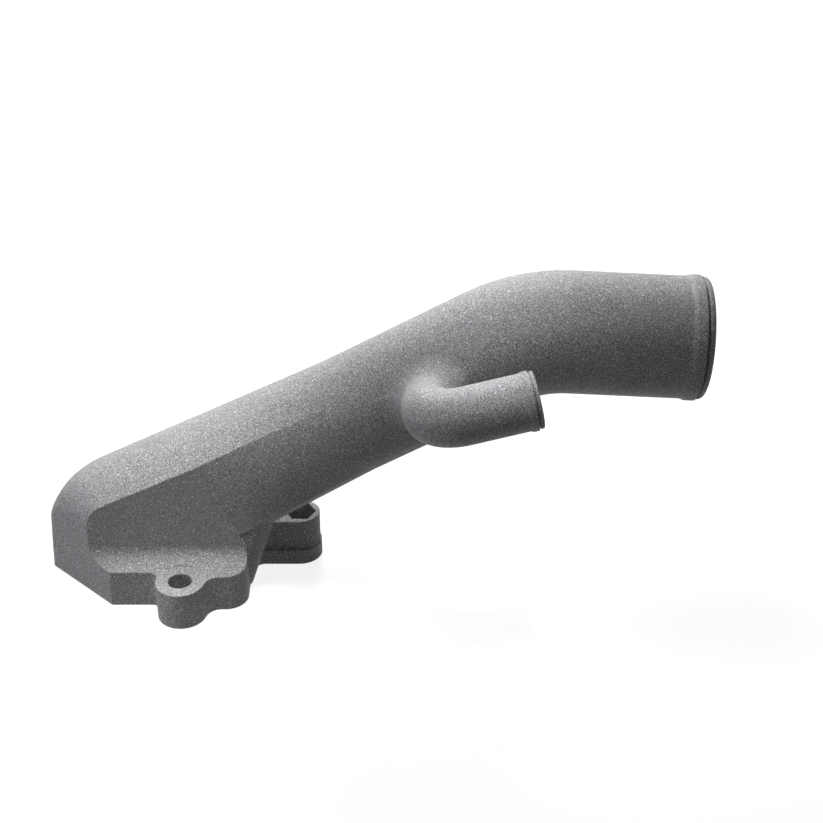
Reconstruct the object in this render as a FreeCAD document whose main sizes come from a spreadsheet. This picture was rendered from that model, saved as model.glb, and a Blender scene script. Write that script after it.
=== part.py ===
import FreeCAD, Part
import math
import os

# Radiator coolant pipe: one aluminium casting.
# The origin is on the mating face of the flange, midway between its two side bolts. +Z points away
# from the engine, +X runs along the tube towards the hose end, and -Y is the branch nozzle's side.

doc = FreeCAD.newDocument("radiator_coolant_pipe")
sheet = doc.addObject("Spreadsheet::Sheet", "sizes")

# Driving dimensions, in millimetres and degrees.
DRIVING_SIZES = (
    ("tube_diameter", 35.0, "main tube, outside"),
    ("tube_wall", 3.2, "main tube and hood, wall"),
    ("tilt", 29.0, "rise of the tube above the mating face"),
    ("axis_height", 26.68, "tube axis above the mating face, at the origin"),
    ("riser_length", 115.5, "origin to the corner of the bend, along the axis"),
    ("bend_radius", 42.0, "centre line of the bend"),
    ("bend_turn", 32.0, "turn of the bend"),
    ("outlet_length", 50.3, "corner of the bend to the hose end"),
    ("roof_draft", 2.5, "taper of the hood's roof, each side"),
    ("fade_length", 45.0, "flat sides to round tube, along the axis"),
    ("flat_width", 28.4, "hood, across its flat sides"),
    ("nose_reach", 43.6, "origin to the hood's nose"),
    ("nose_turn", 43.0, "nose walls, swept back from square"),
    ("wall_draft", 0.8, "draft of the nose walls"),
    ("nose_round", 2.0, "nose edge at the mating face, radius"),
    ("nose_round_top", 4.0, "nose edge at the roof, radius"),
    ("roof_round", 12.0, "roof to nose walls, radius"),
    ("flat_reach", 12.33, "origin to the end of the flat sides, along the axis"),
    ("web_width", 27.6, "web under the tube, width"),
    ("web_foot", 0.8, "web under the tube, beyond the flange at the mating face"),
    ("web_lean", 8.5, "web under the tube, lean up to the axis height"),
    ("web_round", 6.0, "leaning edges of the web, radius"),
    ("flange_thickness", 12.0, "flange"),
    ("flange_width", 41.0, "flange, across its straight sides"),
    ("flange_fillet", 5.0, "flange to hood, radius"),
    ("shoulder_width", 45.4, "flange, across its end shoulders"),
    ("shoulder_reach", 19.0, "origin to the end of the shoulders"),
    ("shoulder_round", 6.5, "corners of the shoulders, radius"),
    ("boss_y", 24.5, "side bolts, from the middle"),
    ("boss_radius", 7.3, "side bolt bosses, radius"),
    ("boss_blend", 2.5, "side bolt bosses to straight sides, radius"),
    ("shoulder_blend", 4.5, "side bolt bosses to shoulders, radius"),
    ("bolt_hole", 7.0, "bolt holes, diameter"),
    ("ear_x", 33.8, "end bolt, along the tube"),
    ("ear_y", 6.4, "end bolt, from the middle"),
    ("ear_radius", 5.9, "end bolt boss, radius"),
    ("ear_height", 15.2, "end bolt boss, height"),
    ("ear_foot", 0.9, "foot of the end boss, beyond its sides"),
    ("ear_foot_back", 0.5, "foot of the end boss, set back from its end"),
    ("ear_foot_height", 5.2, "foot of the end boss, height"),
    ("ear_blend", 3.0, "end boss to the web, radius"),
    ("hex_across", 8.2, "bolt head pocket, across flats"),
    ("hex_depth", 6.0, "bolt head pocket, depth"),
    ("bead_height", 0.45, "hose bead, above the tube"),
    ("bead_land", 2.6, "hose bead, flat crest"),
    ("bead_ramp", 1.4, "hose bead, ramp"),
    ("groove_width", 0.7, "groove behind the lip, width"),
    ("groove_depth", 0.7, "groove behind the lip, depth"),
    ("lip_length", 2.4, "groove and lip beyond the hose bead"),
    ("lip_round", 1.4, "edge of the hose end, radius"),
    ("nozzle_diameter", 16.0, "branch nozzle, outside"),
    ("nozzle_wall", 2.5, "branch nozzle, wall"),
    ("nozzle_station", 85.65, "branch on the main axis, along the axis"),
    ("nozzle_lift", 8.7, "branch above level, about the main axis"),
    ("nozzle_reach", 17.6, "main tube's wall to the branch's corner"),
    ("nozzle_elbow", 8.7, "branch elbow, centre line radius"),
    ("nozzle_length", 30.6, "branch corner to the branch end"),
    ("nozzle_yaw", 7.0, "branch end, turned back towards the main tube"),
    ("nozzle_rise", 11.0, "branch end, above level"),
    ("nozzle_fillet", 6.5, "branch to main tube, radius"),
    ("nozzle_bead_height", 0.35, "branch bead, above the nozzle"),
    ("nozzle_bead_land", 1.5, "branch bead, flat crest"),
    ("nozzle_bead_ramp", 0.8, "branch bead, ramp"),
    ("nozzle_groove_width", 0.5, "groove behind the branch lip, width"),
    ("nozzle_groove_depth", 0.5, "groove behind the branch lip, depth"),
    ("nozzle_lip", 1.6, "groove and lip beyond the branch bead"),
    ("nozzle_lip_round", 0.5, "edge of the branch end, radius"),
)
for row, (alias, value, note) in enumerate(DRIVING_SIZES, start=1):
    sheet.set(f"A{row}", note)
    sheet.set(f"B{row}", str(value))
    sheet.setAlias(f"B{row}", alias)
doc.recompute()

UP = FreeCAD.Vector(0, 0, 1)
ACROSS = FreeCAD.Vector(0, 1, 0)
BLANK = 200.0
OVERCUT = 1.0
NEAR = 0.02
FADE_STEPS = 6


def size(alias):
    return float(sheet.get(alias))


def at(x, y, z):
    return FreeCAD.Placement(FreeCAD.Vector(x, y, z), FreeCAD.Rotation())


def facing(point, direction):
    """A frame at point whose Z runs along direction."""
    return FreeCAD.Placement(point, FreeCAD.Rotation(UP, direction))


def made(kind, name, placement, **sizes):
    """A document object. A size given as text is an expression on the sheet."""
    thing = doc.addObject(kind, name)
    for prop, value in sizes.items():
        if isinstance(value, str):
            thing.setExpression(prop, value)
        else:
            setattr(thing, prop, value)
    thing.Placement = placement
    return thing


def fused(name, pieces):
    thing = doc.addObject("Part::MultiFuse", name)
    thing.Shapes = pieces
    thing.Refine = True
    return thing


def combined(kind, name, base, tool):
    thing = doc.addObject(kind, name)
    thing.Base = base
    thing.Tool = tool
    thing.Refine = True
    return thing


def middle(edge):
    return edge.valueAt((edge.FirstParameter + edge.LastParameter) / 2)


def rounded(name, base, radii):
    """Rounds the edges of base. radii gives an edge's two end radii, or None to leave it."""
    doc.recompute()
    chosen = []
    for number, edge in enumerate(base.Shape.Edges, start=1):
        ends = radii(edge)
        if ends:
            chosen.append((number,) + ends)
    thing = doc.addObject("Part::Fillet", name)
    thing.Base = base
    thing.Edges = chosen
    doc.recompute()
    return thing


# The tube's axis: up the riser, round the bend, out to the hose end.
tilt = math.radians(size("tilt"))
along = FreeCAD.Vector(math.cos(tilt), 0, math.sin(tilt))
above = FreeCAD.Vector(-math.sin(tilt), 0, math.cos(tilt))
axis_start = UP * size("axis_height")
bend_corner = axis_start + along * size("riser_length")
bend_setback = size("bend_radius") * math.tan(math.radians(size("bend_turn") / 2))
droop = math.radians(size("tilt") - size("bend_turn"))
outward = FreeCAD.Vector(math.cos(droop), 0, math.sin(droop))
tube_end = bend_corner + outward * size("outlet_length")

# Along the axis, the hood's flat sides end above the end of the flange and then fade to round.
flat_station = size("flat_reach")
round_station = flat_station + size("fade_length")
half_flat = size("flat_width") / 2
flange_top = size("flange_thickness")


def on_axis(station):
    return axis_start + along * station


def roof_radius(station):
    """The hood's roof is a cone that ends as the round tube."""
    grown = (round_station - station) * math.tan(math.radians(size("roof_draft")))
    return size("tube_diameter") / 2 + grown


def hood_section(name, station, inset, roundness):
    """A closed section of the hood: roof, side, belly, side. Its sides go from flat to fully round."""
    radius = roof_radius(station) - inset
    half_width = (half_flat - inset) * radius / (roof_radius(flat_station) - inset)
    height = math.sqrt(radius ** 2 - half_width ** 2)
    bulge = half_width + (radius - half_width) * roundness
    centre = on_axis(station)
    side = ACROSS * half_width
    top_near = centre - side + above * height
    top_far = centre + side + above * height
    low_near = centre - side - above * height
    low_far = centre + side - above * height
    if roundness > 0:
        far = Part.Arc(top_far, centre + ACROSS * bulge, low_far)
        near = Part.Arc(low_near, centre - ACROSS * bulge, top_near)
    else:
        far = Part.LineSegment(top_far, low_far)
        near = Part.LineSegment(low_near, top_near)
    roof = Part.Arc(top_near, centre + above * radius, top_far)
    belly = Part.Arc(low_far, centre - above * radius, low_near)
    section = doc.addObject("Part::Feature", name)
    section.Shape = Part.Wire([curve.toShape() for curve in (roof, far, belly, near)])
    return section


def hood_body(name, inset):
    """A conical roof over a straight skirt, trimmed to the two flat sides, drawn in by inset."""
    low = -BLANK / 3
    foot = -OVERCUT
    roof = made("Part::Cone", name + "_roof", facing(on_axis(low), along),
                Radius1=roof_radius(low) - inset, Radius2=roof_radius(flat_station) - inset,
                Height=flat_station - low)
    heel = -size("axis_height") / math.tan(tilt)
    reach = size("shoulder_reach") - inset
    reach_height = size("axis_height") + (flat_station - reach * math.cos(tilt)) / math.sin(tilt)
    side = ACROSS * -BLANK
    corners = [
        side + FreeCAD.Vector(heel, 0, 0),
        side + FreeCAD.Vector(heel, 0, foot),
        side + FreeCAD.Vector(reach, 0, foot),
        side + FreeCAD.Vector(reach, 0, reach_height),
        side + on_axis(flat_station),
    ]
    profile = doc.addObject("Part::Feature", name + "_skirt_profile")
    profile.Shape = Part.Face(Part.makePolygon(corners + corners[:1]))
    skirt = made("Part::Extrusion", name + "_skirt", at(0, 0, 0),
                 Base=profile, Dir=ACROSS, LengthFwd=2 * BLANK, Solid=True)
    skirt.DirMode = "Custom"
    sides = made("Part::Box", name + "_sides", at(-BLANK, inset - half_flat, foot),
                 Length=2 * BLANK, Width=2 * (half_flat - inset), Height=BLANK)
    return combined("Part::Common", name + "_body", fused(name + "_wide", [roof, skirt]), sides)


def hood_fade(name, inset):
    """Where the flat sides fade into the round tube, a step at a time."""
    sections = []
    for step in range(FADE_STEPS + 1):
        share = step / FADE_STEPS
        station = flat_station + share * size("fade_length")
        sections.append(hood_section(f"{name}_section_{step}", station, inset, share))
    loft = doc.addObject("Part::Loft", name + "_fade")
    loft.Sections = sections
    loft.Solid = True
    loft.Ruled = True
    return loft


def elbow(name, radius, turn_radius, turn, start, heading, towards):
    """Part of a torus from start, leaving along heading and turning towards the other direction."""
    frame = FreeCAD.Rotation(towards * -1, heading, (towards * -1).cross(heading), "XYZ")
    centre = start + towards * turn_radius
    return made("Part::Torus", name, FreeCAD.Placement(centre, frame),
                Radius1=turn_radius, Radius2=radius, Angle3=turn)


def main_tube(name, radius, overrun):
    """Riser, bend and outlet of the round tube."""
    bend_start = bend_corner - along * bend_setback
    bend_end = bend_corner + outward * bend_setback
    riser = made("Part::Cylinder", name + "_riser", facing(on_axis(round_station), along),
                 Radius=radius, Height=size("riser_length") - bend_setback - round_station)
    bend = elbow(name + "_bend", radius, size("bend_radius"), size("bend_turn"),
                 bend_start, along, above * -1)
    outlet = made("Part::Cylinder", name + "_outlet", facing(bend_end, outward),
                  Radius=radius, Height=size("outlet_length") - bend_setback + overrun)
    return [riser, bend, outlet]


# The branch leaves the main tube square to its axis, then turns towards the hose end.
lift = math.radians(size("nozzle_lift"))
yaw = math.radians(size("nozzle_yaw"))
rise = math.radians(size("nozzle_rise"))
branch_foot = on_axis(size("nozzle_station"))
branch_out = ACROSS * -math.cos(lift) + above * math.sin(lift)
branch_offset = size("tube_diameter") / 2 + size("nozzle_reach")
branch_corner = branch_foot + branch_out * branch_offset
level = FreeCAD.Vector(math.cos(yaw), math.sin(yaw), 0)
branch_heading = level * math.cos(rise) + UP * math.sin(rise)
branch_turn = branch_out.getAngle(branch_heading)
branch_setback = size("nozzle_elbow") * math.tan(branch_turn / 2)
branch_side = branch_heading - branch_out * branch_heading.dot(branch_out)
branch_side.normalize()
branch_end = branch_corner + branch_heading * size("nozzle_length")


def branch_tube(name, radius, overrun):
    """Stub, elbow and nozzle of the branch."""
    elbow_start = branch_corner - branch_out * branch_setback
    elbow_end = branch_corner + branch_heading * branch_setback
    stub = made("Part::Cylinder", name + "_stub", facing(branch_foot, branch_out),
                Radius=radius, Height=branch_offset - branch_setback)
    turn = elbow(name + "_elbow", radius, size("nozzle_elbow"), math.degrees(branch_turn),
                 elbow_start, branch_out, branch_side)
    nozzle = made("Part::Cylinder", name + "_nozzle", facing(elbow_end, branch_heading),
                  Radius=radius, Height=size("nozzle_length") - branch_setback + overrun)
    return [stub, turn, nozzle]


def bead(name, end, heading, radius, height, land, ramp, lip):
    """A hose bead short of a tube's end: a ramp up from the tube and a flat crest."""
    crest_foot = end - heading * (lip + land)
    slope = made("Part::Cone", name + "_ramp", facing(crest_foot - heading * ramp, heading),
                 Radius1=radius, Radius2=radius + height, Height=ramp)
    crest = made("Part::Cylinder", name + "_crest", facing(crest_foot, heading),
                 Radius=radius + height, Height=land)
    return [slope, crest]


def groove(name, end, heading, radius, depth, width, lip):
    """A ring to cut round a tube, between its bead and its lip."""
    frame = facing(end - heading * lip, heading)
    disc = made("Part::Cylinder", name + "_disc", frame, Radius=radius + OVERCUT, Height=width)
    kept = made("Part::Cylinder", name + "_kept", frame, Radius=radius - depth, Height=width)
    return combined("Part::Cut", name, disc, kept)


def upright(name, x, y, foot, radius, height):
    return made("Part::Cylinder", name, at(x, y, foot), Radius=radius, Height=height)


def flange_plan():
    """The flange: a plate, wider shoulders at its end and a boss on each side."""
    plate = made("Part::Box", "plate", at(-size("nose_reach"), -size("flange_width") / 2, 0),
                 Length=size("nose_reach") + size("shoulder_reach"),
                 Width="sizes.flange_width", Height="sizes.flange_thickness")
    shoulders = made("Part::Box", "shoulders", at(0, -size("shoulder_width") / 2, 0),
                     Length="sizes.shoulder_reach",
                     Width="sizes.shoulder_width", Height="sizes.flange_thickness")
    bosses = [upright("boss_near", 0, -size("boss_y"), 0,
                      "sizes.boss_radius", "sizes.flange_thickness"),
              upright("boss_far", 0, size("boss_y"), 0,
                      "sizes.boss_radius", "sizes.flange_thickness")]
    flange = fused("flange", [plate, shoulders] + bosses)

    def corner_radii(edge):
        point = middle(edge)
        if abs(point.z - flange_top / 2) > NEAR or abs(edge.Length - flange_top) > NEAR:
            return None
        if abs(point.x - size("shoulder_reach")) < NEAR:
            return (size("shoulder_round"), size("shoulder_round"))
        if abs(point.x) > size("boss_radius") + NEAR:
            return None
        if point.x > 0:
            return (size("shoulder_blend"), size("shoulder_blend"))
        return (size("boss_blend"), size("boss_blend"))

    return rounded("soft_flange", flange, corner_radii)


def ear_bar(name, spread, back, height):
    """A bar from the end of the flange to a round end near the end bolt, wider by spread each side."""
    start = size("shoulder_reach") - size("tube_wall")
    radius = size("ear_radius") + spread
    centre = size("ear_x") - back
    end = upright(name + "_end", centre, size("ear_y"), 0, radius, height)
    bar = made("Part::Box", name + "_bar", at(start, size("ear_y") - radius, 0),
               Length=centre - start, Width=2 * radius, Height=height)
    return [end, bar]


def skirt_web():
    """A leaning web from the end of the flange up to the tube's belly."""
    foot = size("shoulder_reach") + size("web_foot")
    start = foot - size("web_round") - OVERCUT
    top = size("axis_height")
    side = ACROSS * (-size("web_width") / 2)
    corners = [
        side + FreeCAD.Vector(start, 0, 0),
        side + FreeCAD.Vector(foot, 0, 0),
        side + FreeCAD.Vector(foot + size("web_lean"), 0, top),
        side + FreeCAD.Vector(start, 0, top),
    ]
    profile = doc.addObject("Part::Feature", "web_profile")
    profile.Shape = Part.Face(Part.makePolygon(corners + corners[:1]))
    web = made("Part::Extrusion", "web", at(0, 0, 0), Base=profile, Dir=ACROSS,
               LengthFwd="sizes.web_width", Solid=True)
    web.DirMode = "Custom"

    def edge_radii(edge):
        point = middle(edge)
        leans = abs(point.z - top / 2) < NEAR and point.x > foot
        return (size("web_round"), size("web_round")) if leans else None

    return rounded("soft_web", web, edge_radii)


def nose_waste(name, inset):
    """What lies beyond the nose: outside two drafted walls that meet in front."""
    blocks = []
    sweep = 90 - size("nose_turn")
    for side, turn in (("near", sweep), ("far", -sweep)):
        about = FreeCAD.Rotation(UP, turn)
        lean = about * FreeCAD.Rotation(ACROSS, size("wall_draft"))
        tip = FreeCAD.Vector(-size("nose_reach"), 0, 0) + about.multVec(FreeCAD.Vector(inset, 0, 0))
        corner = tip + lean.multVec(FreeCAD.Vector(-BLANK, -BLANK / 2, -BLANK / 2))
        blocks.append(made("Part::Box", f"{name}_{side}", FreeCAD.Placement(corner, lean),
                           Length=BLANK, Width=BLANK, Height=BLANK))
    return blocks


def lies_on_nose(point, inset):
    """True on either drafted nose wall, drawn in by inset."""
    lean = math.tan(math.radians(size("wall_draft")))
    turn = math.radians(size("nose_turn"))
    depth = (point.x + size("nose_reach")) * math.sin(turn) - abs(point.y) * math.cos(turn)
    return abs(depth - inset - point.z * lean) < NEAR


def nose_radii(edge, inset=0.0):
    """The nose edge grows rounder upwards, and the roof rolls over into both nose walls."""
    point = middle(edge)
    if not lies_on_nose(point, inset):
        return None
    if abs(point.y) < NEAR:
        rises = edge.valueAt(edge.FirstParameter).z < edge.valueAt(edge.LastParameter).z
        radii = (size("nose_round"), size("nose_round_top"))
        return radii if rises else radii[::-1]
    if point.z > flange_top and abs(point.y) < half_flat - inset - NEAR:
        return (size("roof_round") - inset, size("roof_round") - inset)
    return None


def core_nose_radii(edge):
    return nose_radii(edge, size("tube_wall"))


def root_radii(edge):
    """Where the hood's flat sides meet the top of the flange."""
    point = middle(edge)
    if abs(point.z - flange_top) < NEAR and abs(abs(point.y) - half_flat) < NEAR:
        return (size("flange_fillet"), size("flange_fillet"))
    return None


def on_web(point):
    """True on the leaning face of the web."""
    lean = size("web_lean") / size("axis_height")
    foot = size("shoulder_reach") + size("web_foot")
    return abs(point.x - foot - point.z * lean) < NEAR


def foot_radii(edge):
    """Where the near side of the end boss's foot meets the web."""
    point = middle(edge)
    near_side = size("ear_y") - size("ear_radius") - size("ear_foot")
    if on_web(point) and abs(point.y - near_side) < NEAR:
        return (size("ear_blend"), size("ear_blend"))
    return None


def ear_radii(edge):
    """Where the near side of the end boss meets the web."""
    point = middle(edge)
    near_side = size("ear_y") - size("ear_radius")
    if on_web(point) and abs(point.y - near_side) < NEAR:
        return (size("ear_blend"), size("ear_blend"))
    return None


def branch_radii(edge):
    """The seam of the branch's stub on the main tube."""
    point = middle(edge) - branch_foot
    from_branch = (point - branch_out * point.dot(branch_out)).Length
    from_axis = (point - along * point.dot(along)).Length
    on_branch = abs(from_branch - size("nozzle_diameter") / 2) < NEAR
    on_tube = abs(from_axis - size("tube_diameter") / 2) < NEAR
    if on_branch and on_tube:
        return (size("nozzle_fillet"), size("nozzle_fillet"))
    return None


# Outside of the casting.
tube_radius = size("tube_diameter") / 2
nozzle_radius = size("nozzle_diameter") / 2
below = made("Part::Box", "below", at(-BLANK, -BLANK, -BLANK),
             Length=2 * BLANK, Width=2 * BLANK, Height=BLANK)
hood = [hood_body("hood", 0.0), hood_fade("hood", 0.0)]
ear = ear_bar("ear", 0.0, 0.0, size("ear_height"))
ear += ear_bar("ear_foot", size("ear_foot"), size("ear_foot_back"), size("ear_foot_height"))
blank = fused("blank", hood + main_tube("tube", tube_radius, 0.0) + [flange_plan(), skirt_web()] + ear)
waste = fused("waste", nose_waste("nose", 0.0) + [below])
trimmed = combined("Part::Cut", "trimmed", blank, waste)
soft_nose = rounded("soft_nose", trimmed, nose_radii)
soft_root = rounded("soft_root", soft_nose, root_radii)
soft_foot = rounded("soft_foot", soft_root, foot_radii)
soft_ear = rounded("soft_ear", soft_foot, ear_radii)
branched = fused("branched", [soft_ear] + branch_tube("branch", nozzle_radius, 0.0))
soft_branch = rounded("soft_branch", branched, branch_radii)
main_bead = bead("bead", tube_end, outward, tube_radius, size("bead_height"),
                 size("bead_land"), size("bead_ramp"), size("lip_length"))
branch_bead = bead("branch_bead", branch_end, branch_heading, nozzle_radius,
                   size("nozzle_bead_height"), size("nozzle_bead_land"),
                   size("nozzle_bead_ramp"), size("nozzle_lip"))
beaded = fused("beaded", [soft_branch] + main_bead + branch_bead)


def lip_radii(edge):
    """The outer edges of the two open ends."""
    if not edge.isClosed():
        return None
    point = edge.CenterOfMass
    if point.distanceToPoint(tube_end) < NEAR and abs(edge.Curve.Radius - tube_radius) < NEAR:
        return (size("lip_round"), size("lip_round"))
    if point.distanceToPoint(branch_end) < NEAR and abs(edge.Curve.Radius - nozzle_radius) < NEAR:
        return (size("nozzle_lip_round"), size("nozzle_lip_round"))
    return None


solid = rounded("solid", beaded, lip_radii)

# Inside of the casting: the coolant's way, the bolt holes and the bolt head pocket.
wall = size("tube_wall")
core_blank = fused("core_blank", [hood_body("core", wall), hood_fade("core", wall)]
                   + main_tube("core", tube_radius - wall, OVERCUT))
core_waste = fused("core_waste", nose_waste("core_nose", wall))
core_trimmed = combined("Part::Cut", "core_trimmed", core_blank, core_waste)
core = rounded("core", core_trimmed, core_nose_radii)
branch_core = branch_tube("branch_core", nozzle_radius - size("nozzle_wall"), OVERCUT)
holes = []
spots = []
for side, y in (("near", -size("boss_y")), ("far", size("boss_y"))):
    holes.append(upright(f"hole_{side}", 0, y, -OVERCUT,
                         "sizes.bolt_hole / 2", flange_top + 2 * OVERCUT))
    spots.append(upright(f"spot_{side}", 0, y, flange_top, "sizes.boss_radius", flange_top))
holes.append(upright("hole_end", size("ear_x"), size("ear_y"), -OVERCUT,
                     "sizes.bolt_hole / 2", "sizes.ear_height"))
pocket_floor = size("ear_height") - size("hex_depth")
pocket = made("Part::Prism", "pocket", at(size("ear_x"), size("ear_y"), pocket_floor), Polygon=6,
              Circumradius="sizes.hex_across / 2 / cos(30 deg)", Height=size("hex_depth") + OVERCUT)
inside = fused("inside", [core] + branch_core + holes + spots + [pocket])
hollow = combined("Part::Cut", "hollow", solid, inside)

# Turned grooves between each bead and its lip.
main_groove = groove("groove", tube_end, outward, tube_radius,
                     size("groove_depth"), size("groove_width"), size("lip_length"))
branch_groove = groove("branch_groove", branch_end, branch_heading, nozzle_radius,
                       size("nozzle_groove_depth"), size("nozzle_groove_width"), size("nozzle_lip"))
grooves = fused("grooves", [main_groove, branch_groove])
pipe_casting = combined("Part::Cut", "pipe_casting", hollow, grooves)
pipe_casting.Label = "pipe_casting"
doc.recompute()

for thing in doc.Objects:
    if "Invalid" in thing.State or "Error" in thing.State:
        raise RuntimeError(f"{thing.Label} did not build: {thing.State}")
if pipe_casting.Shape.isNull() or not pipe_casting.Shape.isValid() or len(pipe_casting.Shape.Solids) != 1:
    raise RuntimeError("pipe_casting is not one sound solid")
os.makedirs("parts", exist_ok=True)
pipe_casting.Shape.exportStep("parts/pipe_casting.step")
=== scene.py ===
# %% [markdown]
# # A cast aluminium coolant pipe
# The pipe is one casting: a hooded flange, a rising tube with a bend, a beaded hose end and a small
# branch nozzle. Its shape comes exact from the CAD model, so nothing is modelled again here. This
# lesson gives the casting its skin, and then a floor, lamps and a camera for its picture. Lengths
# are in metres unless a cell says otherwise.

# %% Load the part
import math

import bpy
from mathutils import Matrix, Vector


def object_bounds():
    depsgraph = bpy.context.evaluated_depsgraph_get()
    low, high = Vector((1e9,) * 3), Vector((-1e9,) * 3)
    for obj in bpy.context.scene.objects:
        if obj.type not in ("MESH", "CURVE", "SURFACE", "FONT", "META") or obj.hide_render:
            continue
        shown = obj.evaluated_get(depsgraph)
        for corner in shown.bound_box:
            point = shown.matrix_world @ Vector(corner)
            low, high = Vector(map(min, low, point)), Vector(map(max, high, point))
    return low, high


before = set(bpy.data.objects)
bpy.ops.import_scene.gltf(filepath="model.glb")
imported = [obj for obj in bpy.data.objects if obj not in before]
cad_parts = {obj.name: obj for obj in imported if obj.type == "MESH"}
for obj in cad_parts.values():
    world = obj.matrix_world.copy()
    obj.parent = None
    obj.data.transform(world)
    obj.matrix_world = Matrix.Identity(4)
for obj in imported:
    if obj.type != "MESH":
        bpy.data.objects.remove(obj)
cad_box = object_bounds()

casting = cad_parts["pipe_casting"]
print("casting:", len(casting.data.polygons), "faces")

# %% [markdown]
# ## The skin of the casting
# Sand casting and shot blasting leave a dull grey skin with a fine grain of pits, and its glints are
# painted as bright specks.
# A photographed texture would need a map of the whole surface. Noise in the part's own coordinates
# needs none, has no seams and stays with the part when it is moved. The skin starts as an empty
# node tree, and a small helper adds nodes to it.


# %% An empty skin
def emptied(owner):
    """Clear the nodes of a material or world, and return helpers that add a node and link sockets."""
    owner.use_nodes = True
    tree = owner.node_tree
    tree.nodes.clear()

    def add(kind, values=None, **settings):
        node = tree.nodes.new(kind)
        for key, value in settings.items():
            setattr(node, key, value)
        for socket, value in (values or {}).items():
            node.inputs[socket].default_value = value
        return node

    return add, tree.links.new


skin = bpy.data.materials.new("blasted_aluminium")
add, link = emptied(skin)
coordinates = add("ShaderNodeTexCoord")
print("skin:", skin.name)

# %% [markdown]
# ## Pits and crests
# The shot leaves pits that look dark and crests that look bright, a few to each millimetre. One
# noise makes both: its low values take the grey of the pits and its high values that of the crests.
# A narrow band of the noise is stretched over the two greys, so that they part clearly.

# %% Pits and crests
GRAINS_PER_METRE = 3600.0
GRAIN_DETAIL = 1.0
PIT_LEVEL = 0.43
CREST_LEVEL = 0.57
PIT_GREY = (0.20, 0.20, 0.203, 1.0)
CREST_GREY = (0.57, 0.57, 0.575, 1.0)

grain = add("ShaderNodeTexNoise", {"Scale": GRAINS_PER_METRE, "Detail": GRAIN_DETAIL})
link(coordinates.outputs["Object"], grain.inputs["Vector"])
tone = add("ShaderNodeMapRange", {"From Min": PIT_LEVEL, "From Max": CREST_LEVEL})
link(grain.outputs["Fac"], tone.inputs["Value"])
grey = add("ShaderNodeMix", {"A": PIT_GREY, "B": CREST_GREY}, data_type="RGBA")
link(tone.outputs["Result"], grey.inputs["Factor"])
print("grain:", GRAINS_PER_METRE, "to the metre")

# %% [markdown]
# ## Painted glints
# Here and there a freshly cut facet glints, and that glint is painted into the colour as a bright
# speck. A Voronoi texture divides the surface into small cells, each with a colour drawn at random,
# and only cells whose red is very strong become painted glints. Noise would give soft blots instead.

# %% Painted glints
GLINTS_PER_METRE = 3600.0
GLINT_START = 0.92
GLINT_FULL = 0.99
# The grey of the painted glints, bright specks that stand in for light glinting off facets.
PAINTED_GLINT_GREY = (0.90, 0.90, 0.91, 1.0)

cells = add("ShaderNodeTexVoronoi", {"Scale": GLINTS_PER_METRE})
link(coordinates.outputs["Object"], cells.inputs["Vector"])
chance = add("ShaderNodeSeparateColor")
link(cells.outputs["Color"], chance.inputs["Color"])
glint_mask = add("ShaderNodeMapRange", {"From Min": GLINT_START, "From Max": GLINT_FULL})
link(chance.outputs["Red"], glint_mask.inputs["Value"])
# The painted glints are laid over the grain and stay bright whatever the lamps do.
grain_and_painted_glints = add("ShaderNodeMix", {"B": PAINTED_GLINT_GREY}, data_type="RGBA")
link(glint_mask.outputs["Result"], grain_and_painted_glints.inputs["Factor"])
link(grey.outputs["Result"], grain_and_painted_glints.inputs["A"])
print("specks: cells whose red is above", GLINT_START)

# %% [markdown]
# ## Edges, relief and gloss
# A casting has no sharp edges. Rounding every edge in the mesh would change the part, so a bevel in
# the material turns the light softly round each edge instead. The grain's noise also raises a fine
# relief. The blasted metal is matt, so it mirrors little and its gloss is wide.

# %% Edges, relief and gloss
EDGE_ROUND = 0.0006
EDGE_SAMPLES = 8
RELIEF_DEPTH = 0.0005
RELIEF_STRENGTH = 0.5
METAL = 0.07
GLOSS = 0.2
ROUGHNESS = 0.55

soft_edges = add("ShaderNodeBevel", {"Radius": EDGE_ROUND}, samples=EDGE_SAMPLES)
relief = add("ShaderNodeBump", {"Strength": RELIEF_STRENGTH, "Distance": RELIEF_DEPTH})
link(grain.outputs["Fac"], relief.inputs["Height"])
link(soft_edges.outputs["Normal"], relief.inputs["Normal"])
matt = {"Metallic": METAL, "Specular IOR Level": GLOSS, "Roughness": ROUGHNESS}
surface = add("ShaderNodeBsdfPrincipled", matt)
link(grain_and_painted_glints.outputs["Result"], surface.inputs["Base Color"])
link(relief.outputs["Normal"], surface.inputs["Normal"])
output = add("ShaderNodeOutputMaterial")
link(surface.outputs["BSDF"], output.inputs["Surface"])

for slot in casting.material_slots:
    slot.material = skin
print("skin:", skin.name, "on", len(casting.material_slots), "slot")

# %% [markdown]
# ## The floor
# The pipe stands on its flange on a sheet of paper, which is one wide square. It lies a hair below
# the mating face, because two faces in one plane would flicker.

# %% Floor
FLOOR_WIDTH = 4.0
FLOOR_GAP = 0.0002

floor_height = cad_box[0][2] - FLOOR_GAP
bpy.ops.mesh.primitive_plane_add(size=FLOOR_WIDTH, location=(0, 0, floor_height))
floor = bpy.context.object
floor.name = "floor"
print("floor:", FLOOR_WIDTH, "m wide, at height", round(floor_height, 4))

# %% [markdown]
# ## Rays to the eye
# Paper and room have to look white and yet light the pipe only a little, and one plain white can't
# do both. Blender's light path node tells the two apart: it knows the rays that show a surface to
# the eye, straight, mirrored or through glass, from those that carry light to the pipe.

# %% Rays to the eye
EYE_RAYS = ("Is Camera Ray", "Is Glossy Ray", "Is Transmission Ray")


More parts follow.
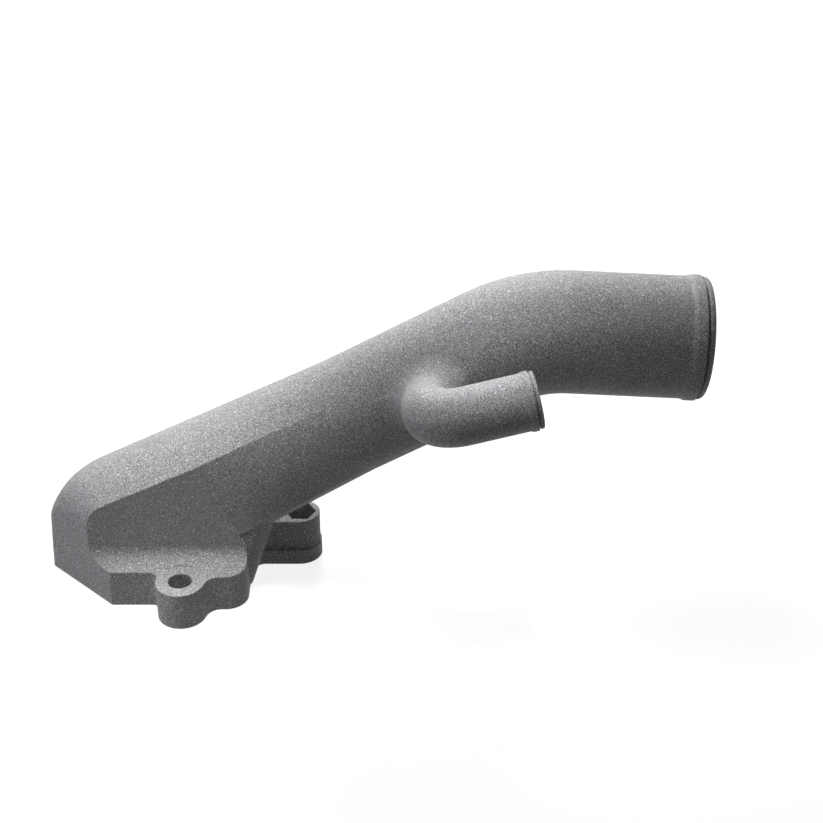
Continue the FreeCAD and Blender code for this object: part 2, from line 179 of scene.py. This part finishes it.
def seen_by_eye(add, link):
    """One for rays that show a surface to the eye, and nought for the rest."""
    rays = add("ShaderNodeLightPath")
    seen = rays.outputs[EYE_RAYS[0]]
    for kind in EYE_RAYS[1:]:
        either = add("ShaderNodeMath", operation="MAXIMUM")
        link(seen, either.inputs[0])
        link(rays.outputs[kind], either.inputs[1])
        seen = either.outputs["Value"]
    return seen


print("rays to the eye:", list(EYE_RAYS))

# %% [markdown]
# ## White paper
# To the eye the paper glows almost white near the pipe, and the lamps add the rest, so the pipe's
# shadow still shows on it. Further off it glows fully white, so that no edge shows where the paper
# ends. Light that bounces off white paper would brighten the underside too much, so the rays that
# carry light meet a dull grey.

# %% White paper
NEAR_GLOW = 0.86
FAR_GLOW = 1.0
NEAR_REACH = 0.20
FAR_REACH = 0.55
PAPER_GREY = (0.35, 0.35, 0.35, 1.0)
BOUNCE_GREY = (0.12, 0.12, 0.12, 1.0)

white_paper = bpy.data.materials.new("white_paper")
add, link = emptied(white_paper)
dull = add("ShaderNodeBsdfDiffuse", {"Color": BOUNCE_GREY})
paper = add("ShaderNodeBsdfDiffuse", {"Color": PAPER_GREY})
coordinates = add("ShaderNodeTexCoord")
reach = add("ShaderNodeVectorMath", operation="LENGTH")
link(coordinates.outputs["Object"], reach.inputs[0])
brighter = add("ShaderNodeMapRange", {"From Min": NEAR_REACH, "From Max": FAR_REACH,
                                      "To Min": NEAR_GLOW, "To Max": FAR_GLOW})
link(reach.outputs["Value"], brighter.inputs["Value"])
glow = add("ShaderNodeEmission")
link(brighter.outputs["Result"], glow.inputs["Strength"])
lit_paper = add("ShaderNodeAddShader")
link(paper.outputs["BSDF"], lit_paper.inputs[0])
link(glow.outputs["Emission"], lit_paper.inputs[1])
either = add("ShaderNodeMixShader")
link(seen_by_eye(add, link), either.inputs["Fac"])
link(dull.outputs["BSDF"], either.inputs[1])
link(lit_paper.outputs["Shader"], either.inputs[2])
output = add("ShaderNodeOutputMaterial")
link(either.outputs["Shader"], output.inputs["Surface"])

floor.data.materials.append(white_paper)
print("paper: fully white from", FAR_REACH, "m on")

# %% [markdown]
# ## The lamps
# A round tube shows its form when its top is bright and its near side dark. Two wide lamps, one
# behind and one overhead, light the tops, and a cool one on the left lights the nose of the hood.
# The hood shades the flange from the lamps behind it, so two narrow lamps, of the kind that
# photographers make with a grid, pick out the flange and the branch.

# %% Lamps
PIPE_MIDDLE = (0.03, 0.0, 0.05)
FLANGE_FRONT = (0.0, -0.03, 0.0)
BRANCH_TOP = (0.095, -0.03, 0.08)
PLAIN = (1.0, 1.0, 1.0)
COOL = (0.90, 0.93, 1.0)
# A kind of lamp is its width in metres and the spread of its light.
SOFT_LAMP = (0.14, math.radians(180.0))
GRID_LAMP = (0.05, math.radians(22.0))
PENCIL_LAMP = (0.03, math.radians(14.0))
# Each lamp has its place, the point it is aimed at, its power in watts, its kind and its colour.
LAMPS = {
    "back": ((0.02, 0.42, 0.30), PIPE_MIDDLE, 1.5, SOFT_LAMP, PLAIN),
    "top": ((0.01, 0.11, 0.39), PIPE_MIDDLE, 0.70, SOFT_LAMP, PLAIN),
    "left": ((-0.45, -0.12, 0.14), PIPE_MIDDLE, 0.50, SOFT_LAMP, COOL),
    "flange": ((0.0, -0.06, 0.34), FLANGE_FRONT, 0.0145, GRID_LAMP, PLAIN),
    "branch": ((0.095, -0.04, 0.40), BRANCH_TOP, 0.0030, PENCIL_LAMP, PLAIN),
}


def lamp(name, place, target, power, kind, colour):
    """A square lamp aimed at a point."""
    light = bpy.data.lights.new(name, "AREA")
    light.energy = power
    light.size, light.spread = kind
    light.color = colour
    holder = bpy.data.objects.new(name, light)
    bpy.context.scene.collection.objects.link(holder)
    holder.location = place
    backwards = holder.location - Vector(target)
    holder.rotation_euler = backwards.to_track_quat("Z", "Y").to_euler()


for name, settings in LAMPS.items():
    lamp(name, *settings)
print("lamps:", list(LAMPS))

# %% [markdown]
# ## The room
# A dim bluish light from all round keeps the shade from turning black. Seen straight on or mirrored
# in the metal, the room is white like the paper. A brighter room would flatten the round forms.

# %% Room
ROOM_COLOUR = (0.75, 0.83, 1.0, 1.0)
ROOM_STRENGTH = 0.02
WHITE = (1.0, 1.0, 1.0, 1.0)
WHITE_STRENGTH = 1.0

room = bpy.data.worlds.new("room")
add, link = emptied(room)
dim = add("ShaderNodeBackground", {"Color": ROOM_COLOUR, "Strength": ROOM_STRENGTH})
white = add("ShaderNodeBackground", {"Color": WHITE, "Strength": WHITE_STRENGTH})
either = add("ShaderNodeMixShader")
link(seen_by_eye(add, link), either.inputs["Fac"])
link(dim.outputs["Background"], either.inputs[1])
link(white.outputs["Background"], either.inputs[2])
output = add("ShaderNodeOutputWorld")
link(either.outputs["Shader"], output.inputs["Surface"])
bpy.context.scene.world = room
print("room: strength", ROOM_STRENGTH)

# %% [markdown]
# ## The camera
# It stands in front of the pipe, half a metre away, and looks down on it. Its angle and distance
# were fitted by laying the pipe's outline over the picture. The lens follows from the picture's width
# and the focal length, both in pixels. Lens and sensor are in millimetres, the tilt is in degrees.

# %% Camera
FRAME_PIXELS = 823
FOCAL_PIXELS = 1650
SENSOR_WIDTH = 36.0
CAMERA_PLACE = (0.068, -0.409, 0.311)
CAMERA_TILT = 58.0
NEAR_CLIP = 0.01

eye = bpy.data.cameras.new("camera")
eye.sensor_width = SENSOR_WIDTH
eye.lens = SENSOR_WIDTH * FOCAL_PIXELS / FRAME_PIXELS
eye.clip_start = NEAR_CLIP
camera = bpy.data.objects.new("camera", eye)
bpy.context.scene.collection.objects.link(camera)
camera.location = CAMERA_PLACE
camera.rotation_euler = (math.radians(CAMERA_TILT), 0.0, 0.0)
bpy.context.scene.camera = camera
bpy.context.scene.view_settings.view_transform = "Standard"
print("lens:", round(eye.lens, 1), "mm")
